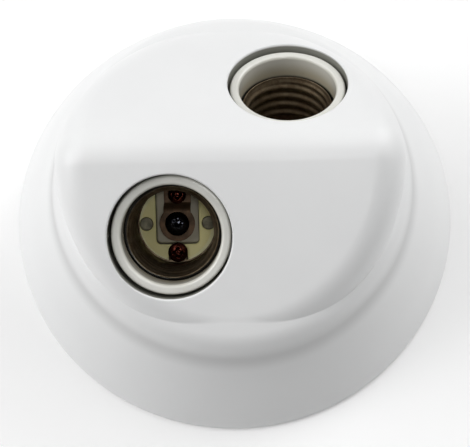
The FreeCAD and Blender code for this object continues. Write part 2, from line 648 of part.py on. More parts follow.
def make_bracket(side, place):
    body = new_body(side + "_holder_bracket", place)
    flat = new_sketch(body, side + "_bracket_outline", "XY_Plane",
                      "%s - bracket_thickness" % BACK_FACE)
    end = "(post_offset + bracket_end - bracket_width / 2)"
    half = "bracket_width / 2"
    rectangle(flat, "(-%s)" % end, "(-%s)" % half, end, "(%s)" % half)
    pad(body, flat, "bracket_thickness", side + "_bracket_bar")
    ends = new_sketch(body, side + "_bracket_ends", "XY_Plane", "%s - bracket_thickness" % BACK_FACE)
    for sign in ("-", ""):
        circle(ends, "(%s%s)" % (sign, end), "0", half)
    pad(body, ends, "bracket_thickness", side + "_bracket_round")
    holes = new_sketch(body, side + "_bracket_holes", "XY_Plane", BACK_FACE)
    for sign in ("", "-"):
        circle(holes, sign + "rivet_offset", "0", "rivet_radius + thread_gap")
        circle(holes, sign + "post_offset", "0", "post_screw_radius + screw_gap")
    pocket(body, holes, "bracket_thickness + 1", side + "_bracket_bores")
    return body


def make_rivet(label, place, u):
    shift = FreeCAD.Placement(FreeCAD.Vector(size(u), 0, 0), FreeCAD.Rotation())
    body = new_body(label, place.multiply(shift))
    sketch = new_sketch(body, label + "_section")
    seat = "(%s - rivet_sink)" % FLOOR
    head = "(%s - rivet_sink + rivet_head_height)" % FLOOR
    under = "(%s - bracket_thickness)" % BACK_FACE
    tail = "(%s - bracket_thickness - tail_height)" % BACK_FACE
    outline(sketch, (
        ("0", tail), ("rivet_head", tail), ("rivet_head", under), ("rivet_radius", under),
        ("rivet_radius", seat), ("rivet_head", seat), ("rivet_head", head), ("0", head)))
    revolve(body, sketch, label + "_turned")
    return body


def make_holder(side, turn):
    place = holder_place(side, turn)
    tab_top = "(%s + shell_wall)" % FLOOR
    strip_seat = "(%s + strip_clearance)" % FOOT_TOP
    screw_end = "(%s - terminal_thickness - tail_height)" % BACK_FACE
    terminal_low = "(%s - terminal_thickness)" % BACK_FACE
    bracket_low = "(%s - bracket_thickness)" % BACK_FACE
    made = [
        make_ceramic(side, place),
        make_shell(side, place),
        turned_screw(side + "_shell_screw", place, "-shell_screw_offset", tab_top,
                     "shell_screw_head", "screw_head_height", "screw_radius", screw_end),
        make_strip(side, place),
        make_button(side, place),
        turned_screw(side + "_contact_screw", place, "contact_screw_offset", strip_seat,
                     "contact_screw_head", "screw_head_height", "screw_radius", screw_end),
        make_terminal(side + "_live_terminal", place, "contact_screw_offset"),
        make_terminal(side + "_neutral_terminal", place, "-shell_screw_offset"),
        make_bracket(side, place),
    ]
    wire_screws, rivets, post_screws = [], [], []
    for name, v in (("live", "contact_screw_offset"), ("neutral", "-shell_screw_offset")):
        wire_screws.append(turned_screw(
            "%s_%s_wire_screw" % (side, name), place, v, terminal_low, "clamp_head",
            "clamp_head_height", "clamp_radius", "(%s + clamp_length)" % BACK_FACE, False,
            "clamp_offset"))
    for name, sign in (("inner", ""), ("outer", "-")):
        rivets.append(make_rivet("%s_%s_rivet" % (side, name), place, sign + "rivet_offset"))
        post_screws.append(turned_screw(
            "%s_%s_post_screw" % (side, name), place, "0", bracket_low, "post_screw_head",
            "post_screw_head_height", "post_screw_radius",
            "(%s + post_screw_length)" % bracket_low, False, sign + "post_offset"))
    made.append(group(side + "_terminal_screws", wire_screws))
    made.append(group(side + "_bracket_rivets", rivets))
    made.append(group(side + "_bracket_screws", post_screws))
    return made


parts = [make_cover(), make_plate()]
for side, turn in SIDES:
    parts += make_holder(side, turn)
doc.recompute()

for item in doc.Objects:
    if "Invalid" in item.State or "Error" in item.State:
        raise ValueError("%s did not recompute" % item.Label)
for item in parts:
    shape = item.Shape
    if shape.isNull() or not shape.isValid() or not shape.Solids:
        raise ValueError("%s has no valid solid" % item.Label)

os.makedirs("parts", exist_ok=True)
for item in parts:
    item.Shape.exportStep("parts/%s.step" % item.Label)
    print("%-26s %d solid(s) %10.1f mm3" % (item.Label, len(item.Shape.Solids), item.Shape.Volume))
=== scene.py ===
import math

import bmesh
import bpy
import numpy as np
from mathutils import Matrix, Vector
from mathutils.geometry import delaunay_2d_cdt


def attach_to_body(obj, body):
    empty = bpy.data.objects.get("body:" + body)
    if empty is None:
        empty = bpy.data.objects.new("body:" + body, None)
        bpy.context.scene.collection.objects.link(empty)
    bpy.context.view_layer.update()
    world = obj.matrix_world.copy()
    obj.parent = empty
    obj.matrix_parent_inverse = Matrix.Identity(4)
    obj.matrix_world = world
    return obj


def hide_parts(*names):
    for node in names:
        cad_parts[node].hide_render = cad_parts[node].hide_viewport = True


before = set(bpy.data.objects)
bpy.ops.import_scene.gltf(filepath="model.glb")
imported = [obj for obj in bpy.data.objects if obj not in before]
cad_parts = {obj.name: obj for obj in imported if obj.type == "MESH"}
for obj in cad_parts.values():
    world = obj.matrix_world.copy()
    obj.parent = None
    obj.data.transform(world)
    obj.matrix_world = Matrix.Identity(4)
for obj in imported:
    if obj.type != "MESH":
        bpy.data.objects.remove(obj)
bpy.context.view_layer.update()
scene = bpy.context.scene
print("frame loaded")

# Lengths of the pieces are millimetres. The mesh maker turns them into metres. Shaders, floor,
# lights and camera are in metres.
slope = math.radians(25.4)
ridgeHeight = 64.383
socketX, socketY = 18.6, 25.6
socketZ = ridgeHeight - socketY * math.tan(slope)
sides = {"front": 1.0, "back": -1.0}
# the front holder sits a little off the middle of its opening
holderDrift = {"front": 0.34, "back": 0.0}
# Places that several pieces of a socket share, in its own frame: X along the ridge, Y up the
# slope and Z out of the opening.
rivetX, postX, wireScrewX = 10.3, 23.0, 6.4
shellScrewY, contactScrewY, shellHeadZ, contactHeadZ = -9.45, 9.5, -31.6, -34.2
backZ, terminalZ, bracketZ = -39.5, -40.5, -40.7


# Meshes are put together from patches, each a pair of points and faces.

def turnedPoints(profile, steps):
    # x = r cos t, y = r sin t, z as in the profile
    t = np.arange(steps) * 2 * np.pi / steps
    r, z = profile[:, 0:1], profile[:, 1:2]
    return np.stack([r * np.cos(t), r * np.sin(t), z + 0 * t], -1)


def gridFaces(rows, columns):
    # four-sided faces between rows of points, each row a closed ring
    i = np.arange(rows - 1)[:, None]
    j = np.arange(columns)[None, :]
    a, b = i * columns + j, i * columns + (j + 1) % columns
    return np.stack([a, b, b + columns, a + columns], -1).reshape(-1, 4)


def gridPatch(points):
    return points.reshape(-1, 3), gridFaces(*points.shape[:2]).tolist()


def fanPatch(ring, tip):
    # triangles from one ring of points to a tip
    count = len(ring)
    faces = [[i, (i + 1) % count, count] for i in range(count)]
    return np.vstack([ring, [tip]]), faces


def lathe(profile, steps):
    # a profile that starts or ends on the axis gets a tip there
    profile = np.asarray(profile, float)
    onAxis = profile[:, 0] < 1e-6
    body = turnedPoints(profile[~onAxis], steps)
    return [gridPatch(body)] + [fanPatch(body[end], [0, 0, profile[end, 1]]) for end in (0, -1) if onAxis[end]]


def unit(v):
    return v / np.linalg.norm(v, axis=-1, keepdims=True)


def softened(corners, radii, closed=False, pieces=5):
    # a line through the corners with each corner rounded to its own radius
    corners = [np.array(c, float) for c in corners]
    count, line = len(corners), []
    for i, (here, radius) in enumerate(zip(corners, radii)):
        if radius <= 0 or (not closed and i in (0, count - 1)):
            line.append(here)
            continue
        before, after = unit(corners[i - 1] - here), unit(corners[(i + 1) % count] - here)
        half = math.acos(np.clip(before @ after, -1, 1)) / 2
        if half > math.pi / 2 - 1e-3:  # nearly straight on
            line.append(here)
            continue
        centre = here + unit(before + after) * radius / math.sin(half)
        first = here + before * radius / math.tan(half) - centre
        last = here + after * radius / math.tan(half) - centre
        turn = math.atan2(first[0] * last[1] - first[1] * last[0], first @ last)
        for k in range(pieces + 1):
            c, s = math.cos(turn * k / pieces), math.sin(turn * k / pieces)
            line.append(centre + np.array([c * first[0] - s * first[1], s * first[0] + c * first[1]]))
    return np.array(line)


def refined(line, step, closed=False):
    # the same line with no stretch longer than the step
    line = np.asarray(line, float)
    after = np.roll(line, -1, 0) if closed else line[1:]
    made = []
    for a, b in zip(line, after):
        parts = max(1, int(math.ceil(np.linalg.norm(b - a) / step)))
        made += [a + (b - a) * k / parts for k in range(parts)]
    if not closed:
        made.append(line[-1])
    return np.array(made)


def circleLine(x, y, radius, steps=32):
    t = np.arange(steps) * 2 * np.pi / steps
    return np.stack([x + radius * np.cos(t), y + radius * np.sin(t)], -1)


def arcLine(radius, start, end, steps):
    t = np.linspace(start, end, steps)
    return radius * np.stack([np.cos(t), np.sin(t)], -1)


def barLine(end, radius, steps):
    # a bar along X whose round ends are centred this far to either side
    right = arcLine(radius, -np.pi / 2, np.pi / 2, steps) + np.array([end, 0])
    return np.vstack([right, -right])


def grown(loop, amount):
    # the closed loop, run anticlockwise, moved outwards along its own normals
    along = unit(np.roll(loop, -1, 0) - np.roll(loop, 1, 0))
    return loop + np.stack([along[:, 1], -along[:, 0]], -1) * amount


def insideLoop(points, loop):
    # a point is inside when a line to its right crosses the loop an odd number of times
    x, y = points[:, 0:1], points[:, 1:2]
    ax, ay = loop[:, 0], loop[:, 1]
    bx, by = np.roll(ax, -1), np.roll(ay, -1)
    spans = (ay > y) != (by > y)
    rise = np.where(by == ay, 1e-12, by - ay)
    return (spans & (x < ax + (y - ay) / rise * (bx - ax))).sum(1) % 2 == 1


def within(points, loops):
    # inside the first loop and outside the others
    kept = insideLoop(points, loops[0])
    for loop in loops[1:]:
        kept &= ~insideLoop(points, loop)
    return kept


def triangulated(points, edges, kind, limit):
    # places, triangles and where each place comes from
    made = delaunay_2d_cdt([Vector(p) for p in points], edges, [], kind, limit)
    return np.array([list(v) for v in made[0]]), np.array([list(f) for f in made[2]]), made[3]


def flatFaces(loops, extra=()):
    # triangles between the first loop and the others, which are holes in it
    points, edges, start = [], [], 0
    for loop in loops:
        count = len(loop)
        points.append(loop)
        edges += [(start + i, start + (i + 1) % count) for i in range(count)]
        start += count
    if len(extra):
        extra = np.asarray(extra, float)
        points.append(extra[within(extra, loops)])
    places, triangles, _ = triangulated(np.vstack(points), edges, 0, 1e-5)
    return places, triangles[within(places[triangles].mean(1), loops)].tolist()


def loopRows(loop, heights, growths):
    # the loop at several heights, grown by its own amount at each
    steps = zip(heights, growths)
    return np.stack([np.column_stack([grown(loop, g), np.full(len(loop), h)]) for h, g in steps])


def tube(loop, low, high):
    return gridPatch(loopRows(loop, [low, high], [0, 0]))


def atHeight(flat, height):
    return np.column_stack([flat[0], np.full(len(flat[0]), height)]), flat[1]


def slab(outer, holes, low, high, edge, extra=()):
    # a flat piece with holes, with a quarter round along every edge
    angles = np.linspace(0, np.pi / 2, 4)
    inset = edge * (1 - np.cos(angles))
    inset = np.concatenate([inset[::-1], inset])
    heights = np.concatenate([low + edge - edge * np.sin(angles[::-1]), high - edge + edge * np.sin(angles)])
    patches = [gridPatch(loopRows(outer, heights, -inset))]
    patches += [gridPatch(loopRows(hole, heights, inset)) for hole in holes]
    flat = flatFaces([grown(outer, -edge)] + [grown(hole, edge) for hole in holes], extra)
    return patches + [atHeight(flat, low), atHeight(flat, high)]


def bent(patches, path, axis):
    # The flat piece follows a path: the coordinate on the axis runs along it, and height
    # is measured square to it. Both are in the plane of the axis and Z.
    path = np.asarray(path, float)
    steps = np.linalg.norm(np.diff(path, axis=0), axis=1)
    lengths = np.concatenate([[0], np.cumsum(steps)])
    along = unit(np.gradient(path, axis=0))
    made = []
    for points, faces in patches:
        points = points.copy()
        s, h = points[:, axis].copy(), points[:, 2].copy()
        dx, dz = np.interp(s, lengths, along[:, 0]), np.interp(s, lengths, along[:, 1])
        size = np.hypot(dx, dz)
        points[:, axis] = np.interp(s, lengths, path[:, 0]) - h * dz / size
        points[:, 2] = np.interp(s, lengths, path[:, 1]) + h * dx / size
        made.append((points, faces))
    return made


def moved(patches, x=0.0, y=0.0, z=0.0):
    return [(points + np.array([x, y, z]), faces) for points, faces in patches]


def upturned(patches):
    # turned over about X
    return [(points * np.array([1, -1, -1]), faces) for points, faces in patches]


def socketMatrix(side):
    # columns are along the ridge, up the slope and out of the socket
    turn = sides[side]
    c, s = math.cos(slope), math.sin(slope)
    return (np.array([[turn, 0, 0], [0, turn * c, -turn * s], [0, s, c]]),
            np.array([-turn * socketX, -turn * socketY, socketZ]))


def placed(patches, side):
    axes, centre = socketMatrix(side)
    return [(points @ axes.T + centre, faces) for points, faces in patches]


def makePiece(name, patches, material, body, nodes, weighted=True, outward=True):
    points = np.vstack([p for p, _ in patches])
    faces, start = [], 0
    for patch, made in patches:
        faces += [[start + i for i in face] for face in made]
        start += len(patch)
    mesh = bpy.data.meshes.new(name)
    mesh.from_pydata((points * 0.001).tolist(), [], faces)
    work = bmesh.new()
    work.from_mesh(mesh)
    bmesh.ops.remove_doubles(work, verts=work.verts, dist=2e-6)
    bmesh.ops.dissolve_degenerate(work, dist=1e-7, edges=work.edges)
    if outward:
        bmesh.ops.recalc_face_normals(work, faces=work.faces)
    work.to_mesh(mesh)
    work.free()
    mesh.shade_smooth()
    piece = bpy.data.objects.new(name, mesh)
    scene.collection.objects.link(piece)
    mesh.materials.append(material)
    if weighted:
        piece.modifiers.new("even shading", "WEIGHTED_NORMAL").weight = 60
    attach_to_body(piece, body)
    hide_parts(*nodes)
    return piece


# Shaders are written as sums on sockets.

class Wire:
    # one output socket of a shader's node tree
    def __init__(self, tree, socket):
        self.tree, self.socket = tree, socket

    def node(self, kind, inputs=(), output=0, **settings):
        made = self.tree.nodes.new(kind)
        for name, value in settings.items():
            setattr(made, name, value)
        for key, value in dict(inputs).items():
            if isinstance(value, Wire):
                self.tree.links.new(value.socket, made.inputs[key])
            else:
                made.inputs[key].default_value = value
        return Wire(self.tree, made.outputs[output])

    def sum(self, operation, first, second=0.0):
        return self.node("ShaderNodeMath", {0: first, 1: second}, operation=operation)

    def __add__(self, other): return self.sum("ADD", self, other)
    def __radd__(self, other): return self.sum("ADD", other, self)
    def __sub__(self, other): return self.sum("SUBTRACT", self, other)
    def __mul__(self, other): return self.sum("MULTIPLY", self, other)
    def __pow__(self, other): return self.sum("POWER", self, other)

    def ramp(self, low, high, toLow=0.0, toHigh=1.0):
        return self.node("ShaderNodeMapRange", {0: self, 1: low, 2: high, 3: toLow, 4: toHigh},
                         interpolation_type="SMOOTHSTEP")

    def noise(self, scale, detail, roughness=0.5, stretch=None):
        spot = self
        if stretch is not None:
            spot = self.node("ShaderNodeVectorMath", {0: self, 1: stretch}, operation="MULTIPLY")
        return spot.node("ShaderNodeTexNoise", {"Vector": spot, "Scale": scale, "Detail": detail,
                                                "Roughness": roughness})

    def blend(self, first, second):
        # this value picks between two colours
        first, second = [c if isinstance(c, Wire) else (*c, 1.0) for c in (first, second)]
        return self.node("ShaderNodeMix", {0: self, 6: first, 7: second}, 2, data_type="RGBA")

    def parts(self):
        split = self.node("ShaderNodeSeparateXYZ", {0: self}).socket.node
        return [Wire(self.tree, output) for output in split.outputs]


def newMaterial(name, **fixed):
    material = bpy.data.materials.new(name)
    material.use_nodes = True
    tree = material.node_tree
    shader = tree.nodes["Principled BSDF"]
    for key, value in fixed.items():
        shader.inputs[key.replace("_", " ")].default_value = value
    objectPlace = 3
    where = Wire(tree, None).node("ShaderNodeTexCoord", output=objectPlace)
    return material, shader, where


def attach(shader, wire, key):
    wire.tree.links.new(wire.socket, shader.inputs[key])


def attachBump(shader, wire, distance, strength):
    bump = wire.node("ShaderNodeBump", {"Strength": strength, "Distance": distance, "Height": wire})
    attach(shader, bump, "Normal")


def socketPlace(where):
    # Distance from the nearer socket's axis and depth below its opening, in metres. Half a
    # turn about Z brings one socket onto the other, so both are reckoned as the front one.
    x, y, z = where.parts()
    turn = y.sum("SIGN", y) * -1.0
    along = turn * x + socketX * 0.001
    ahead, above = turn * y + socketY * 0.001, z - socketZ * 0.001
    c, s = math.cos(slope), math.sin(slope)
    across = ahead * c + above * s
    away = (along * along + across * across) ** 0.5
    return away, ahead * s - above * c


# heights and radii in metres: where the painted shade of the hollow begins, is full, and ends again, how much
# of it is mixed in, and its grey
hollowShade = {"rise": (0.024, 0.0298), "fall": (0.0302, 0.036), "radius": (0.053, 0.055), "share": 0.42,
               "grey": (0.42, 0.42, 0.42)}


def plasticMaterial(name, light, dark, roughness, opening=None):
    # Moulded plastic: a hardly visible cloudiness, flow marks in the gloss, fine mould
    # texture. Below the edge of an opening of the given radius the wall is painted dark grey as
    # painted shade, standing in for the dark gap behind the opening, and the hollow between the
    # skirt and the steep wall gets a painted grey shade.
    material, shader, where = newMaterial(name, IOR=1.5, Coat_Roughness=0.3)
    colour = where.noise(22.0, 4.0, 0.55).ramp(0.3, 0.7).blend(dark, light)
    if opening:
        away, depth = socketPlace(where)
        # painted shade: the white wall of the opening below its rounded edge is made dark grey
        dull = away.ramp(opening + 0.0002, opening + 0.0004, 1.0, 0.0) * depth.ramp(0.0004, 0.0011)
        colour = dull.blend(colour, (0.2, 0.2, 0.175))
        # painted shade: the hollow between the skirt and the steep wall is mixed towards grey
        x, y, height = where.parts()
        outside = ((x * x + y * y) ** 0.5).ramp(*hollowShade["radius"])
        hollow = height.ramp(*hollowShade["rise"]) * height.ramp(*hollowShade["fall"], 1.0, 0.0) * outside
        colour = (hollow * hollowShade["share"]).blend(colour, hollowShade["grey"])
    attach(shader, colour, "Base Color")
    flow = where.noise(14.0, 2.0, 0.5, (1.0, 1.0, 3.0))
    grain = where.noise(2600.0, 2.0, 0.6)
    attach(shader, roughness + flow.ramp(0.3, 0.7, -0.03, 0.03) + grain.ramp(0.2, 0.8, -0.03, 0.03),
           "Roughness")
    wave = where.noise(60.0, 1.0, 0.4)
    attachBump(shader, grain * 0.12 + wave, 0.00006, 0.5)
    return material


def metalMaterial(name, light, dark, roughness, metallic=1.0):
    # sheet or turned metal: tarnish in patches, fine scratches, a little unevenness
    material, shader, where = newMaterial(name, Metallic=metallic)
    scale = 350.0
    patches = where.noise(scale, 5.0, 0.6)
    spots = where.noise(scale * 5, 3.0, 0.7)
    stain = patches.ramp(0.35, 0.68) * 0.75 + spots.ramp(0.45, 0.75) * 0.25
    attach(shader, stain.blend(light, dark), "Base Color")
    scratch = where.noise(scale * 9, 2.0, 0.6, (1.0, 0.12, 1.0))
    attach(shader, roughness + stain * 0.16 + scratch.ramp(0.35, 0.65, -0.05, 0.05), "Roughness")
    attachBump(shader, patches * 0.5 + scratch * 0.5, 0.00002, 0.6)
    return material


# how deep below the opening each tone begins and is full, in metres, and the tones. Lip, wall, groove, edge
# and recess are painted shade, the floor's bright yellow is painted light and a painted reflection, and the
# rim is a painted highlight
porcelainDepths = {"lip": (0.00242, 0.0029), "wall": (0.0035, 0.0094), "groove": (0.0094, 0.0108),
                   "bare": (0.024, 0.028), "edge": (0.0321, 0.0327), "recess": (0.035, 0.0354)}
porcelainTones = {"ring": ((0.75, 0.745, 0.695), (0.8, 0.795, 0.745)), "lip": (0.6, 0.59, 0.53),
                  "wall": (0.4, 0.36, 0.27), "groove": (0.03, 0.027, 0.02),
                  "floor": ((0.93, 0.85, 0.38), (0.96, 0.89, 0.44)), "rim": (0.97, 0.92, 0.54),
                  "edge": (0.24, 0.21, 0.11), "recess": (0.52, 0.48, 0.36), "speck": (0.16, 0.12, 0.07)}


def porcelainMaterial():
    # Thick glaze over a cream body: slow waves, pinholes and a few iron specks. Inside the
    # mouth the colour is painted darker with depth as painted shade: the lip is toned down over
    # its lit rounding, the wall darkens and the groove round the shell is near black. The floor
    # is bare, rougher and without coat; its bright yellow is painted light and a painted warm
    # reflection of the brass, the paler band where it meets the wall is a painted highlight, and
    # its recess is painted in shade, darkest on the recess's edges.
    material, shader, where = newMaterial("porcelain glaze", IOR=1.52, Coat_Roughness=0.12)
    cloud = where.noise(90.0, 3.0, 0.5)
    away, depth = socketPlace(where)
    below, tones = {key: depth.ramp(*span) for key, span in porcelainDepths.items()}, porcelainTones
    mouth, bare = cloud.ramp(0.3, 0.7).blend(*tones["ring"]), below["bare"]
    # painted shade: the lip, wall and groove of the mouth darken with depth
    for key in ("lip", "wall", "groove"):
        mouth = below[key].blend(mouth, tones[key])
    # painted reflection and painted light: the floor's bright yellow stands in for warm light off the brass
    # and is brighter than the ring; the paler rim by the wall is a painted highlight
    floor = cloud.ramp(0.3, 0.7).blend(*tones["floor"])
    floor = away.ramp(0.0114, 0.0119).blend(floor, tones["rim"])
    # painted shade: the recess walls, rivet seats and holes are painted dark and the recess floor greyer
    for key in ("edge", "recess"):
        floor = below[key].blend(floor, tones[key])
    cells = where.node("ShaderNodeTexVoronoi", {"Vector": where, "Scale": 330.0})
    speck = cells.ramp(0.035, 0.06, 1.0, 0.0) * where.noise(70.0, 1.0, 0.5).ramp(0.62, 0.66)
    attach(shader, (speck * 0.8).blend(bare.blend(mouth, floor), tones["speck"]), "Base Color")
    attach(shader, cloud.ramp(0.3, 0.7, 0.16, 0.26) + bare * 0.35, "Roughness")
    attach(shader, bare * -0.35 + 0.35, "Coat Weight")
    wave = where.noise(240.0, 2.0, 0.5)
    attachBump(shader, wave + speck * 0.4, 0.00005, 0.5)
    return material


coverPlastic = plasticMaterial("white cover plastic", (0.84, 0.845, 0.845), (0.815, 0.82, 0.822), 0.36, 0.0191)
platePlastic = plasticMaterial("white plate plastic", (0.78, 0.78, 0.77), (0.74, 0.74, 0.73), 0.5)
porcelain = porcelainMaterial()
shellMetal = metalMaterial("rolled shell brass", (0.19, 0.15, 0.1), (0.1, 0.068, 0.04), 0.42)
stripMetal = metalMaterial("browned contact copper", (0.15, 0.085, 0.042), (0.075, 0.046, 0.026), 0.46, 0.5)
buttonMetal = metalMaterial("dark plated contact", (0.035, 0.037, 0.045), (0.015, 0.015, 0.018), 0.05)
copperScrew = metalMaterial("copper plated screw", (0.14, 0.036, 0.024), (0.065, 0.016, 0.011), 0.13)
terminalBrass = metalMaterial("pressed brass", (0.75, 0.6, 0.32), (0.5, 0.38, 0.18), 0.28)
zincSteel = metalMaterial("zinc plated steel", (0.62, 0.63, 0.64), (0.42, 0.43, 0.45), 0.34)
rivetMetal = metalMaterial("dull rivet", (0.25, 0.235, 0.17), (0.14, 0.13, 0.095), 0.5)
print("materials made")


# The cover's skin is a distance from a point inside it, for every direction.

coverSize = {"rim": 76.0, "rimHeight": 1.5, "groove": (59.4, 28.72), "shoulder": 57.6, "bow": 0.7,
             "grooveRound": 16.2, "shoulderRound": 10.3, "roof": 54.4, "roofRound": 11.5, "ridgeRound": 13.0,
             "cone": 46, "coneTop": 27, "coneFall": 29, "wall": 2.2, "eye": 24.0, "hole": 19.1,
             "holeEdge": 0.6, "sleeve": 13.0, "sleeveWall": 2.0, "blend": 0.3}
eye = np.array([0, 0, coverSize["eye"]])


def skirtLine(inset):
    # rim, skirt, hollow, steep wall, rounding and the cone of the ledge, as radius and height
    s = coverSize
    rim, shoulder, (grooveR, grooveZ) = s["rim"] - inset, s["shoulder"] - inset, s["groove"]
    tip, fall = ridgeHeight - 0.02 - inset / math.cos(slope), math.tan(slope)
    # the cone goes on inside the roof block, where nothing shows of it
    cone, top = s["cone"], tip - s["coneFall"] * fall
    corners = [(rim - 0.4, 0), (rim, 0), (rim, s["rimHeight"]), (grooveR - inset, grooveZ),
               (shoulder, tip - shoulder * fall), (cone, tip - cone * fall), (s["coneTop"], top), (0, top)]
    radii = [0, 0.4, 1.2, s["grooveRound"] + inset, s["shoulderRound"] - inset, 0, 0, 0]
    line = refined(softened(corners, radii, pieces=24), 0.15)
    # the bow is a squared sine along the skirt, square to it
    share = np.clip((line[:, 1] - 2.5) / (grooveZ - 8.0), 0, 1)
    push = s["bow"] * np.sin(np.pi * share) ** 2
    lean = math.atan2(rim - grooveR + inset, grooveZ - s["rimHeight"])
    return line + np.stack([push * math.cos(lean), push * math.sin(lean)], -1)


def roofDistance(points, inset):
    # Distance to a round block under a rounded gable. Where side and gable meet, the distance
    # is taken to the edge that their shrunk forms share.
    rounding, ridgeRound = coverSize["roofRound"] - inset, coverSize["ridgeRound"]
    x, y, z = points[..., 0], points[..., 1], points[..., 2]
    r = np.maximum(np.hypot(x, y), 1e-9)
    side = r - (coverSize["roof"] - inset - rounding)
    up = z - (ridgeHeight - ridgeRound / math.cos(slope))
    c, s = math.cos(slope), math.sin(slope)
    nearRidge = (np.abs(y) * c - up * s < 0) & (up > 0)
    reach = np.maximum(np.hypot(y, up), 1e-9)
    roof = np.where(nearRidge, reach, np.abs(y) * s + up * c) - (ridgeRound - inset - rounding)
    lean = np.where(nearRidge, np.abs(y) / reach, s) * np.abs(y) / r
    corner = (side > roof * lean) & (roof > side * lean) & ((side > 0) | (roof > 0))
    edge = np.maximum(side ** 2 + roof ** 2 - 2 * side * roof * lean, 0) / np.maximum(1 - lean ** 2, 1e-9)
    return np.where(corner, np.sqrt(edge), np.maximum(side, roof)) - rounding


def direction(elevation, azimuth):
    return np.stack([np.cos(elevation) * np.cos(azimuth), np.cos(elevation) * np.sin(azimuth),
                     np.sin(elevation)], -1)


def bothReaches(way, inset):
    # how far skirt and roof block are from the eye in each direction
    line = skirtLine(inset) - np.array([0, coverSize["eye"]])
    angles = np.arctan2(line[:, 1], line[:, 0])
    order = np.argsort(angles)
    skirt = np.interp(np.arcsin(np.clip(way[..., 2], -1, 1)), angles[order], np.hypot(*line.T)[order])
    near, far = np.zeros(way.shape[:-1]), np.full(way.shape[:-1], 90.0)
    for _ in range(27):
        middle = (near + far) / 2
        inside = roofDistance(eye + way * middle[..., None], inset) < 0
        near, far = np.where(inside, middle, near), np.where(inside, far, middle)
    return skirt, near


def coverPoint(way, inset=0.0):
    # the farther of the two, with a small blend where they cross
    skirt, roof = bothReaches(way, inset)
    gap = np.clip(0.5 + 0.5 * (roof - skirt) / coverSize["blend"], 0, 1)
    reach = skirt + (roof - skirt) * gap + coverSize["blend"] * gap * (1 - gap) * 0.5
    return eye + way * reach[..., None]


def coverNormal(way):
    # square to two short steps across the skin
    level = unit(np.stack([-way[..., 1], way[..., 0] + 1e-9, 0 * way[..., 0]], -1))
    rise, stepSize = np.cross(way, level), 0.0008

    def step(turned):
        return coverPoint(unit(way + turned * stepSize)) - coverPoint(unit(way - turned * stepSize))

    return unit(np.cross(step(level), step(rise)))


def wayTo(points):
    return unit(points - eye)


def skinDepth(points):
    # positive outside the skin
    return np.linalg.norm(points - eye, axis=-1) - np.linalg.norm(coverPoint(wayTo(points)) - eye, axis=-1)


def creaseElevation(azimuth, inset):
    # the direction in which the roof block comes out of the ledge
    steps = np.linspace(0.0, 1.2, 500)[:, None] + 0 * azimuth
    skirt, roof = bothReaches(direction(steps, azimuth + 0 * steps), inset)
    last = len(steps) - 1 - (skirt > roof)[::-1].argmax(0)
    low, high = steps[last, 0], steps[last + 1, 0]
    for _ in range(14):
        middle = (low + high) / 2
        skirt, roof = bothReaches(direction(middle, azimuth), inset)
        low, high = np.where(skirt > roof, middle, low), np.where(skirt > roof, high, middle)
    return low


def skinGrid(lowRows, highRows, columns, inset):
    # Rows from the foot to the top. One row follows the crease round the roof block, and
    # the rows are closer together next to it and at the foot.
    foot = math.atan2(-coverSize["eye"], coverSize["rim"] - inset - 0.4)
    azimuth = np.arange(columns) * 2 * np.pi / columns
    crease = creaseElevation(azimuth, inset)
    t = np.linspace(0, 1, lowRows)[:, None]
    low = foot + (crease - foot) * (0.45 * t + 0.275 * (1 - np.cos(np.pi * t)))
    t = np.linspace(0, 1, highRows + 1)[1:, None]
    high = crease + (math.radians(89.5) - crease) * (0.4 * t + 0.6 * t * t)
    elevation = np.vstack([low, high])
    return elevation, azimuth[None, :] + 0 * elevation


def topMap(way):
    # a flat map seen from above, as wide as the angle from the top
    turned = np.arctan2(way[..., 1], way[..., 0])
    return np.arccos(np.clip(way[..., 2], -1, 1))[..., None] * np.stack([np.cos(turned), np.sin(turned)], -1)


def fromAxis(points, side, low):
    # distance from the socket's axis, and far away below the given height
    axes, centre = socketMatrix(side)
    local = (points - centre) @ axes
    return np.where(local[..., 2] > low, np.hypot(local[..., 0], local[..., 1]), 1e9)


def skinLine(side, flat):
    # the line where an upright bar with this outline, in the socket's frame, leaves the skin
    axes, centre = socketMatrix(side)
    low, high = np.full(len(flat), -12.0), np.full(len(flat), 2.0)
    for _ in range(24):
        middle = (low + high) / 2
        outside = skinDepth(np.column_stack([flat, middle]) @ axes.T + centre) > 0
        low, high = np.where(outside, low, middle), np.where(outside, middle, high)
    return np.column_stack([flat, (low + high) / 2])


def sleevePatch(side, loop):
    # rounded edge of the opening, the guide sleeve behind it and the sleeve's end
    hole, edge = coverSize["hole"], coverSize["holeEdge"]
    deep, wall = -coverSize["sleeve"], coverSize["sleeveWall"]
    rows = []
    for t in np.linspace(0, np.pi / 2, 6):
        flat = loop[:, :2] * (hole + edge - edge * math.sin(t)) / (hole + edge)
        rows.append(np.column_stack([flat, loop[:, 2] - edge + edge * math.cos(t)]))
    below = softened([(hole, deep + 6), (hole, deep), (hole + wall, deep), (hole + wall, deep + 6)],
                     [0, 0.4, 0.4, 0])
    for radius, height in [*below, (hole + wall, -1.2)]:
        lift = loop[:, 2] if height > -3 else 0 * loop[:, 2]
        rows.append(np.column_stack([loop[:, :2] * radius / (hole + edge), lift + height]))
    return placed([gridPatch(np.stack(rows))], side)


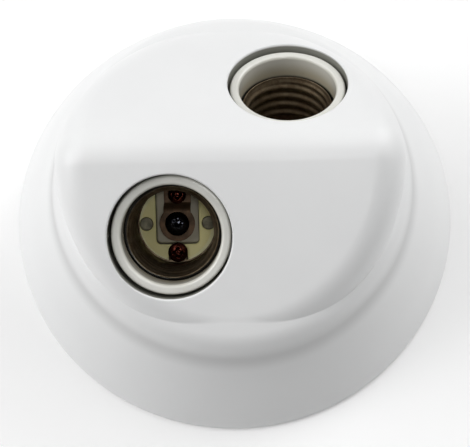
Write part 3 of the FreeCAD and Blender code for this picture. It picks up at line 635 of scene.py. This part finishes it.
def makeCover():
    columns = 384
    elevation, azimuth = skinGrid(120, 86, columns, 0.0)
    rows, way = len(elevation), direction(elevation, azimuth)
    skin = coverPoint(way)
    hole, edge = coverSize["hole"], coverSize["holeEdge"]
    points, flatMap = skin.reshape(-1, 3), topMap(way).reshape(-1, 2)
    away = np.minimum(*[fromAxis(points, side, -20) for side in sides])
    quads = gridFaces(rows, columns)
    cut = (away < hole + edge + 0.7)[quads].any(1)
    patches = [(points, quads[~cut].tolist()), fanPatch(skin[-1], coverPoint(np.array([0, 0, 1.0])))]

    # the strip between the grid and each opening is filled on the flat map
    for side in sides:
        here = (fromAxis(points, side, -20) < hole + 8)[quads].all(1)
        edges = {}
        for quad, isCut in zip(quads[here], cut[here]):
            for a, b in zip(quad, np.roll(quad, -1)):
                key = (min(a, b), max(a, b))
                edges[key] = edges.get(key, 0) + (1 if isCut else 10)
        rim = [key for key, value in edges.items() if value == 11]
        used = sorted({v for key in rim for v in key})
        number = {v: i for i, v in enumerate(used)}
        axes, centre = socketMatrix(side)
        loop = skinLine(side, circleLine(0, 0, hole + edge, 160))
        ring = loop @ axes.T + centre
        ringMap = topMap(wayTo(ring))
        count, start = len(ring), len(used)
        joints = [(number[a], number[b]) for a, b in rim]
        joints += [(start + i, start + (i + 1) % count) for i in range(count)]
        spots, triangles, origins = triangulated(np.vstack([flatMap[used], ringMap]), joints, 1, 1e-9)
        kept = ~insideLoop(spots[triangles].mean(1), ringMap)
        source = [origin[0] for origin in origins]
        patches.append((np.vstack([points[used], ring])[source], triangles[kept].tolist()))
        patches += sleevePatch(side, loop)
    return patches


def coverInside():
    columns, inset = 192, coverSize["wall"]
    elevation, azimuth = skinGrid(56, 36, columns, inset)
    skin = coverPoint(direction(elevation, azimuth), inset)
    points, quads = skin.reshape(-1, 3), gridFaces(len(elevation), columns)
    away = np.minimum(*[fromAxis(points, side, -12) for side in sides])
    cut = (away < coverSize["hole"] + 0.4)[quads].any(1)
    foot = np.array([(coverSize["rim"] - 0.4, 0.0), (coverSize["rim"] - inset - 0.4, 0.0)])
    top = coverPoint(np.array([0, 0, 1.0]), inset)
    return [(points, quads[~cut][:, ::-1].tolist()), fanPatch(skin[-1], top),
            gridPatch(turnedPoints(foot, columns))]


postSize = {"radius": 3.6, "bore": 1.35, "deep": 12.0, "neck": -9.0, "below": 1.1, "steps": 48}


def post(side, u, v):
    # a bored foot for the bracket's screw, whose top ends inside the wall
    radius, bore, deep, neck, below, steps = postSize.values()
    end = backZ + deep
    line = softened([(bore, end), (bore, backZ), (radius, backZ), (radius, neck)], [0, 0.25, 0.35, 0])
    foot = moved(lathe(np.vstack([[(0, end)], line]), steps), u, v)
    outline = np.vstack([circleLine(u, v, radius, steps), [(u, v)]])
    top = skinLine(side, outline) - np.array([0, 0, below])
    ring = np.column_stack([top[:-1, :2], np.full(steps, neck)])
    return placed(foot + [gridPatch(np.stack([ring, top[:-1]])), fanPatch(top[:-1], top[-1])], side)


# three catches of the cover rest on three hooks of the plate: section, roundings and width
hookTurns = (90, 210, 330)
catch = ([(65.6, 5.0), (72.2, 5.0), (71.0, 7.2), (65.6, 7.2)], [0.3, 0, 0, 0.3], 26.0)
hook = ([(62.5, 1.9), (64.5, 1.9), (64.5, 7.5), (67.9, 7.5), (67.9, 9.5), (62.5, 9.5)],
        [0, 0, 0.3, 0.3, 0.3, 0.5], 18.0)


def hookRing(corners, roundings, width):
    # the section, as radius and height, swept round Z and closed at both ends
    section, patches = softened(corners, roundings, True), []
    places, triangles = flatFaces([section])

    def swept(points, a):
        return np.column_stack([points[:, 0] * math.cos(a), points[:, 0] * math.sin(a), points[:, 1]])

    for turn in hookTurns:
        t = np.radians(turn + np.linspace(-width / 2, width / 2, 14))
        patches.append(gridPatch(np.stack([swept(section, a) for a in t])))
        patches += [(swept(places, a), triangles) for a in (t[0], t[-1])]
    return patches


fittings = hookRing(*catch)
for side in sides:
    for u in (-postX, postX):
        fittings += post(side, u + holderDrift[side], holderDrift[side])
cover = makePiece("cover", makeCover() + coverInside() + fittings, coverPlastic, "fixture",
                  ["housing_cover"], weighted=False, outward=False)


def shadeCover(piece):
    # skin points take the skin's own normal, all others keep that of their faces
    mesh = piece.data
    places, normals = np.empty((2, len(mesh.vertices) * 3))
    mesh.vertices.foreach_get("co", places)
    mesh.vertex_normals.foreach_get("vector", normals)
    places, normals = places.reshape(-1, 3) * 1000, normals.reshape(-1, 3)
    onSkin = (places[:, 2] > 0.6) & (np.abs(skinDepth(places)) < 0.004)
    normals[onSkin] = coverNormal(wayTo(places[onSkin]))
    mesh.normals_split_custom_set_from_vertices(normals.tolist())
    return int(onSkin.sum())


print("cover made, skin points", shadeCover(cover), "faces", len(cover.data.polygons))


# The mounting plate lies on the ceiling, inside the cover's foot.

plateSize = {"radius": 64.5, "cable": 17.0, "slot": 42.0, "slotEnd": 5.7, "slotRadius": 2.3, "thick": 2.0}
plateHoles = [circleLine(0, 0, plateSize["cable"], 96)]
for x in (-plateSize["slot"], plateSize["slot"]):
    plateHoles.append(barLine(plateSize["slotEnd"], plateSize["slotRadius"], 13) + np.array([x, 0]))
plate = slab(circleLine(0, 0, plateSize["radius"], 192), plateHoles, 0.0, plateSize["thick"], 0.3)
makePiece("mountingPlate", plate + hookRing(*hook), platePlastic, "fixture", ["mounting_plate"])
print("plate made")


# One porcelain socket, in its own frame, with its metal parts.

ceramicSize = {"ring": -2.4, "mouthFoot": -12.6, "floor": -32.0, "collar": 18.45, "mouth": 15.4, "bore": 13.9,
               "body": 16.6, "collarFoot": -13.4, "recess": 7.15, "recessLow": -6.9, "recessReach": 13.4,
               "recessFloor": -35.5, "seat": 2.3, "seatDeep": 0.7, "rivetHole": 1.3, "tapped": 1.7,
               "relief": 1.6, "reliefDeep": 4.2}


def recessLine():
    # a U whose arms end on a circle just inside the bore
    half, low, reach = ceramicSize["recess"], ceramicSize["recessLow"], ceramicSize["recessReach"]
    top = math.sqrt(reach ** 2 - half ** 2)
    start, end = math.atan2(top, half), math.atan2(top, -half)
    corners = softened([(-half, top), (-half, low), (half, low), (half, top)], [0, 1.6, 1.6, 0], False, 8)
    return refined(np.vstack([corners[1:-1], arcLine(reach, start, end, 18)]), 0.9, True)


def ceramicPatches():
    s = ceramicSize
    outside = softened([(s["body"] - 1, backZ), (s["body"], backZ + 1), (s["body"], s["collarFoot"]),
                        (s["collar"], s["collarFoot"]), (s["collar"], s["ring"]), (s["mouth"], s["ring"]),
                        (s["mouth"], s["mouthFoot"]), (s["bore"], s["mouthFoot"]), (s["bore"], s["floor"])],
                       [0, 0.3, 0.5, 0.4, 0.9, 1.1, 0.4, 0.3, 0], pieces=8)
    patches = [gridPatch(turnedPoints(refined(outside, 2.5), 144))]
    recess = recessLine()
    seats, rivetHoles = [[circleLine(u, 0, s[key], steps) for u in (-rivetX, rivetX)]
                         for key, steps in (("seat", 40), ("rivetHole", 24))]
    tapped = circleLine(0, shellScrewY, s["tapped"], 28)
    contactHole = circleLine(0, contactScrewY, s["tapped"], 28)
    reliefs = [circleLine(wireScrewX, v, s["relief"], 24) for v in (shellScrewY, contactScrewY)]
    top, bottom = circleLine(0, 0, s["bore"], 144), circleLine(0, 0, s["body"] - 1, 144)
    floorZ, deepZ = s["floor"], s["recessFloor"]
    seatZ, reliefZ = floorZ - s["seatDeep"], backZ + s["reliefDeep"]
    # how round the edges of the seats and the recess are, above and below
    seatEdge, edge, deepEdge = 0.2, 0.35, 0.7
    inFloor = [grown(recess, edge), *[grown(seat, seatEdge) for seat in seats], tapped]
    patches.append(atHeight(flatFaces([top, *inFloor]), floorZ))
    turns = np.linspace(0, np.pi / 2, 5)
    heights = [floorZ - edge + edge * np.cos(turns), deepZ + deepEdge - deepEdge * np.sin(turns)]
    growths = [edge - edge * np.sin(turns), -deepEdge + deepEdge * np.cos(turns)]
    patches.append(gridPatch(loopRows(recess, np.concatenate(heights), np.concatenate(growths))))
    patches.append(atHeight(flatFaces([grown(recess, -deepEdge), contactHole]), deepZ))
    for seat, hole in zip(seats, rivetHoles):
        rows = loopRows(seat, [*(floorZ - seatEdge + seatEdge * np.cos(turns)), seatZ],
                        [*(seatEdge - seatEdge * np.sin(turns)), 0.0])
        patches += [gridPatch(rows), atHeight(flatFaces([seat, hole]), seatZ), tube(hole, seatZ, backZ)]
    patches += [tube(tapped, floorZ, backZ), tube(contactHole, deepZ, backZ),
                atHeight(flatFaces([bottom, tapped, contactHole, *rivetHoles, *reliefs]), backZ)]
    for relief in reliefs:
        rows = loopRows(relief, [backZ, reliefZ], [0, 0])
        patches += [gridPatch(rows), fanPatch(rows[-1], [*relief.mean(0), reliefZ])]
    return patches


shellSize = {"inner": 13.4, "wall": 0.4, "pitch": 3.63, "depth": 0.7, "top": -9.8, "lip": 14.1,
             "threadTop": -10.8, "threadEnd": -26.4, "phase": 0.13, "neck": 13.2, "neckTop": -28.8,
             "floor": -32.0, "foot": 12.6, "bend": 0.5, "tab": 3.2, "hole": 1.7}


def smooth(value, low, high):
    t = np.clip((value - low) / (high - low), 0, 1)
    return t * t * (3 - 2 * t)


def shellWall(height, turn, out):
    # Radius of the rolled sheet: a right-handed round thread that fades in and out, a flared lip
    # above it and a narrower neck below it. The lengths added are those that each change takes.
    s = shellSize
    fade = smooth(height, s["threadEnd"], s["threadEnd"] + 2.2)
    fade = fade * (1 - smooth(height, s["threadTop"] - 1.6, s["threadTop"]))
    wave = 0.5 - 0.5 * np.cos(2 * np.pi * (height - s["phase"]) / s["pitch"] - turn)
    radius = s["inner"] - s["depth"] * wave * fade
    radius = radius + (s["lip"] - s["inner"]) * smooth(height, s["top"] - 2.2, s["top"])
    radius = radius - (s["inner"] - s["neck"]) * (1 - smooth(height, s["neckTop"] - 0.1, s["neckTop"] + 0.7))
    return radius + out


def shellPatches():
    s, steps = shellSize, 144
    turn = np.arange(steps) * 2 * np.pi / steps
    spans = ((s["top"] - 0.2, s["top"] - 1.6, 7), (s["top"] - 1.8, s["threadEnd"] - 0.2, 96),
             (s["threadEnd"] - 0.5, s["neckTop"] - 0.2, 12), (s["neckTop"] - 0.6, s["floor"] + 0.9, 5))
    heights = np.concatenate([np.linspace(*span) for span in spans])
    grid = heights[:, None] + 0 * turn
    inside = shellWall(grid, turn[None, :], 0.0)
    outside = shellWall(grid, turn[None, :], s["wall"])

    def ringed(radius, height):
        height = np.broadcast_to(height, radius.shape)
        return np.stack([radius * np.cos(turn), radius * np.sin(turn), height], -1)

    # the sheet's rounded upper edge, and at the foot both sides of the bend turned in
    wall, bend, foot, floorZ, half = s["wall"], s["bend"], s["foot"], s["floor"], s["wall"] / 2
    lip = [ringed(outside[0] - half + half * math.cos(t), s["top"] - half + half * math.sin(t))
           for t in np.linspace(0, np.pi, 7)[1:-1]]
    rows = [ringed(outside[i], grid[i]) for i in range(len(heights) - 1, -1, -1)]
    rows += lip + [ringed(inside[i], grid[i]) for i in range(len(heights))]
    ones, turns = np.ones(steps), np.linspace(0, np.pi / 2, 6)
    rows += [ringed(ones * (s["neck"] - bend + bend * math.cos(t)), floorZ + wall + bend - bend * math.sin(t))
             for t in turns[1:]]
    rows = [ringed(ones * (s["neck"] + wall * math.cos(t)), floorZ + wall - wall * math.sin(t))
            for t in turns[::-1]] + rows
    patches = [gridPatch(np.stack(rows))]
    # flat ring with the tab that the shell screw holds
    wide = s["tab"]
    start = math.asin(wide / foot)
    arc = arcLine(foot, -math.pi / 2 + start, 1.5 * math.pi - start, 120)
    cap = arcLine(wide, math.pi, 0, 24) + np.array([0, shellScrewY])
    inner = refined(np.vstack([arc, cap]), 1.2, True)
    hole = circleLine(0, shellScrewY, s["hole"], 28)
    for height, radius in ((floorZ + wall, s["neck"] - bend), (floorZ, s["neck"])):
        patches.append(atHeight(flatFaces([circleLine(0, 0, radius, steps), inner, hole]), height))
    return patches + [tube(inner, floorZ, floorZ + wall), tube(hole, floorZ, floorZ + wall)]


def crossed(length, width, depth):
    # a cross shaped recess whose arms slope up towards their ends
    def recess(x, y):
        along, across = np.maximum(np.abs(x), np.abs(y)), np.minimum(np.abs(x), np.abs(y))
        return depth * smooth(-across, -width, -width * 0.55) * smooth(-along, -length, -length * 0.25)

    return recess


def slotted(width, depth):
    return lambda x, y: depth * smooth(-np.abs(x), -width, -width * 0.7)


# radius and height of the head, radius and end of the shank, and the recess
screwSizes = {"shell": (3.25, 2.0, 1.5, -9.4, crossed(2.1, 0.75, 1.1)),
              "contact": (3.0, 2.0, 1.5, -6.8, crossed(2.0, 0.7, 1.0)),
              "wire": (2.5, 1.8, 1.4, -5.0, slotted(0.45, 0.9)),
              "post": (2.7, 1.9, 1.3, -10.0, crossed(1.7, 0.6, 1.0))}


def domed(radius, rise, top, margins, rings, relief, corners, roundings):
    # a ball cap with relief pressed into it, closed by a turned line that ends on the axis
    ball = (radius ** 2 + rise ** 2) / (2 * rise)
    radii = np.linspace(margins[0], radius - margins[1], rings)
    t = np.linspace(0, 2 * np.pi, 144, endpoint=False)
    x, y = radii[:, None] * np.cos(t), radii[:, None] * np.sin(t)
    crown = top - ball + np.sqrt(ball ** 2 - radii ** 2)
    cap = np.stack([x, y, crown[:, None] - relief(x, y)], -1)
    line = softened([(radii[-1], crown[-1]), *corners], roundings)
    return [gridPatch(cap), fanPatch(cap[0], [0, 0, top - relief(0.0, 0.0)])] + lathe(line, 144)


def screwPatches(kind):
    # head on z = 0, shank down to the end
    head, height, shank, end, recess = screwSizes[kind]
    rise = height * 0.45
    corners = [(head, height - rise - 0.02), (head, 0.0), (shank, 0.0), (shank, end), (0, end)]
    return domed(head, rise, height, (0.06, 0.25), 34, recess, corners, [0, 0.25, 0.12, 0.1, 0.3, 0])


# The places along the strip are up the slope from the socket's axis. It is drawn longer than
# its end, so that the bending runs on.
stripSize = {"foot": -35.1, "thick": 0.5, "rise": 3.2, "ring": 5.85, "wide": 9.0, "start": -8.0,
             "bends": (4.6, 6.4), "end": 12.2, "drawn": 14.0, "buttonHole": 1.95, "screwHole": 1.9,
             "edge": 0.12}


def stripPatches():
    # flat outline first, then bent along its middle line
    s = stripSize
    low, high, (bend, bendEnd) = s["foot"], s["foot"] + s["rise"], s["bends"]
    path = softened([(s["start"], high), (bend, high), (bendEnd, low), (s["drawn"], low)], [0, 1.3, 1.0, 0],
                    False, 10)
    path = refined(path, 0.12)
    length = np.linalg.norm(np.diff(path, axis=0), axis=1).cumsum()[-1]
    total, far, half = length - (s["drawn"] - s["end"]), -s["start"], s["wide"] / 2
    start = math.asin(half / s["ring"])
    arc = arcLine(s["ring"], start - 1.5 * math.pi, math.pi / 2 - start, 60) + np.array([0, far])
    neck = far + s["ring"] * math.cos(start)
    corners = softened([(half, neck), (half, total), (-half, total), (-half, neck)], [0, 0.9, 0.9, 0])
    outline = refined(np.vstack([arc, corners[1:-1]]), 0.6, True)
    screwAt = length - (s["drawn"] - contactScrewY)
    holes = [circleLine(0, far, s["buttonHole"]), circleLine(0, screwAt, s["screwHole"])]
    lines = [(x, y) for y in np.arange(far + 3.0, far + 12.0, 0.28) for x in np.arange(-4.0, 4.1, 0.8)]
    return bent(slab(outline, holes, 0.0, s["thick"], s["edge"], lines), path, 1)


buttonSize = {"radius": 4.0, "edge": 0.5, "rise": 1.3, "low": -31.4, "neck": 1.9, "tail": 2.8}
# how many, how far out, how deep, and the square of how wide
dimples = (6, 1.55, 0.1, 0.12)


def pressed(x, y):
    count, out, deep, wide = dimples
    angles = [math.radians(60 * k + 15) for k in range(count)]
    return sum(deep * np.exp(-((x - out * math.cos(a)) ** 2 + (y - out * math.sin(a)) ** 2) / wide)
               for a in angles)


def buttonPatches():
    # a ball cap with a ring of small pressed dimples, on a riveted shank
    radius, edge, rise, low, neck, tail = buttonSize.values()
    corners = [(radius, low + edge), (radius, low), (neck, low), (neck, low - 0.5), (tail, low - 0.5),
               (tail, low - 1.0), (0, low - 1.0)]
    return domed(radius, rise, low + edge + rise, (0.05, 0.2), 40, pressed, corners,
                 [0, 0.3, 0.12, 0, 0, 0.12, 0.25, 0])


# head with a slightly dished face, shank through the porcelain and the spread tail, as radius
# and height, and the roundings
rivetLine = ([(0, -32.17), (1.5, -32.1), (2.1, -32.12), (2.1, -32.7), (1.25, -32.7), (1.25, -40.7),
              (2.1, -40.7), (2.1, -41.2), (0, -41.2)], [0, 0.6, 0.18, 0, 0, 0, 0.1, 0.3, 0])
terminalSize = {"half": 3.4, "drawn": 16.2, "length": 16.9, "start": -4.2, "fold": 9.7, "foldEnd": -44.2,
                "thick": 1.0, "edge": 0.12}
# place along the strip and radius
terminalHoles = ((4.2, 1.55), (10.6, 1.45))


def terminalPatches():
    # a strip of brass with its outer end folded down
    half, drawn, length, start, fold, foldEnd, thick, edge = terminalSize.values()
    outline = softened([(0, -half), (drawn, -half), (drawn, half), (0, half)], [0.8, 0.5, 0.5, 0.8], True)
    outline = refined(outline, 1.0, True) * np.array([length / drawn, 1.0])
    path = refined(softened([(start, terminalZ), (fold, terminalZ), (fold, foldEnd)], [0, 0.35, 0]), 0.1)
    holes = [circleLine(x, 0, radius, 28) for x, radius in terminalHoles]
    lines = [(x, y) for x in np.arange(12.6, 15.0, 0.2) for y in np.arange(-3.0, 3.1, 1.0)]
    return bent(slab(outline, holes, 0.0, thick, edge, lines), path, 0)


bracketSize = {"end": 22.7, "radius": 4.5, "rivetHole": 1.3, "screwHole": 1.5, "edge": 0.18}


def bracketPatches():
    end, radius, rivetHole, screwHole, edge = bracketSize.values()
    holes = [circleLine(u, 0, rivetHole, 24) for u in (-rivetX, rivetX)]
    holes += [circleLine(u, 0, screwHole, 28) for u in (-postX, postX)]
    return slab(refined(barLine(end, radius, 17), 3.0, True), holes, bracketZ, backZ, edge)


for side in sides:
    def place(name, patches, material, body="fixture", weighted=True):
        node = side + "_" + "".join("_" + c.lower() if c.isupper() else c for c in name)
        patches = placed(moved(patches, holderDrift[side], holderDrift[side]), side)
        makePiece(side + name[0].upper() + name[1:], patches, material, body, [node], weighted)

    place("ceramicBody", ceramicPatches(), porcelain)
    place("screwShell", shellPatches(), shellMetal, weighted=False)
    place("shellScrew", moved(screwPatches("shell"), 0, shellScrewY, shellHeadZ), copperScrew)
    place("contactScrew", moved(screwPatches("contact"), 0, contactScrewY, contactHeadZ), copperScrew)
    contact = side + "_centre_contact"
    place("contactStrip", stripPatches(), stripMetal, contact)
    place("contactButton", buttonPatches(), buttonMetal, contact)
    rivet = lathe(softened(*rivetLine), 64)
    place("bracketRivets", moved(rivet, -rivetX) + moved(rivet, rivetX), rivetMetal)
    place("liveTerminal", moved(terminalPatches(), 0, contactScrewY), terminalBrass)
    place("neutralTerminal", moved(terminalPatches(), 0, shellScrewY), terminalBrass)
    wireScrew = moved(upturned(screwPatches("wire")), wireScrewX, 0, terminalZ)
    place("terminalScrews", moved(wireScrew, 0, contactScrewY) + moved(wireScrew, 0, shellScrewY), zincSteel)
    place("holderBracket", bracketPatches(), zincSteel)
    postScrew = moved(upturned(screwPatches("post")), 0, 0, bracketZ)
    place("bracketScrews", moved(postScrew, -postX) + moved(postScrew, postX), zincSteel)
    print(side, "socket made")


# Plain floor, soft light and the camera where the photograph was taken from.

def floorMaterial():
    # near white round the fitting, a soft grey beyond it, and a glow far off like a studio's sweep
    material, shader, where = newMaterial("pale floor", Roughness=0.9, Emission_Strength=1.0)
    x, y, _ = where.parts()
    away = (x * x + y * y) ** 0.5
    cloud = where.noise(3.0, 2.0).ramp(0.3, 0.7)
    tone = away.ramp(0.12, 0.34).blend(cloud.blend((0.94,) * 3, (0.96,) * 3), (0.33,) * 3)
    attach(shader, tone, "Base Color")
    attach(shader, away.ramp(0.22, 0.85).blend((0.06,) * 3, (0.6,) * 3), "Emission Color")
    return material


floorReach, floorZ = 3, -0.0004
floorMesh = bpy.data.meshes.new("floor")
corners = [(x * floorReach, y * floorReach, floorZ) for x, y in ((-1, -1), (1, -1), (1, 1), (-1, 1))]
floorMesh.from_pydata(corners, [], [(0, 1, 2, 3)])
floorMesh.materials.append(floorMaterial())
floor = bpy.data.objects.new("floor", floorMesh)
scene.collection.objects.link(floor)

world = bpy.data.worlds.new("studio")
scene.world = world
world.use_nodes = True
background = world.node_tree.nodes["Background"].inputs
background[0].default_value, background[1].default_value = (1.0, 1.0, 1.0, 1.0), 0.0

# bearing from X, height angle, power and width of each round soft light, all as far from one point
lightTarget, lightDistance = Vector((0, 0, 0.04)), 1.3
softLights = {
    "left low": (180, 25, 7.3, 0.9),
    "left high": (180, 55, 4.4, 0.9),
    "back left low": (135, 25, 1.9, 0.9),
    "back left high": (135, 55, 1.9, 0.9),
    "back right low": (45, 25, 6.7, 0.9),
    "back right high": (45, 55, 3.9, 0.9),
    "right low": (0, 25, 2.9, 0.9),
    "beside the camera": (288, 69, 2.3, 0.3),
}
for name, (bearing, height, power, width) in softLights.items():
    light = bpy.data.lights.new(name, "AREA")
    light.shape, light.size, light.energy = "DISK", width, power
    lamp = bpy.data.objects.new(name, light)
    way = Vector(direction(math.radians(height), math.radians(bearing)))
    lamp.location = lightTarget + way * lightDistance
    lamp.rotation_mode = "QUATERNION"
    lamp.rotation_quaternion = (-way).to_track_quat("-Z", "Y")
    scene.collection.objects.link(lamp)

# solved from the photo: focal length and width in pixels, the camera's place in rim radii
focalLength, photoWidth, cameraPlace, rimRadius = 1115.09, 470, (0.0995, -1.684, 4.912), 0.076
cameraData = bpy.data.cameras.new("camera")
cameraData.sensor_width = 36.0
cameraData.lens = cameraData.sensor_width * focalLength / photoWidth
cameraData.clip_start, cameraData.clip_end = 0.01, 20.0
camera = bpy.data.objects.new("camera", cameraData)
right = Vector((0.9996, -0.0132, -0.0238))
back = Vector((0.0184, -0.3147, 0.9490)).normalized()
right = (right - back * right.dot(back)).normalized()
up = back.cross(right)
placement = Matrix((right, up, back)).transposed().to_4x4()
placement.translation = Vector(cameraPlace) * rimRadius
camera.matrix_world = placement
scene.collection.objects.link(camera)
scene.camera = camera
scene.view_settings.view_transform = "Standard"
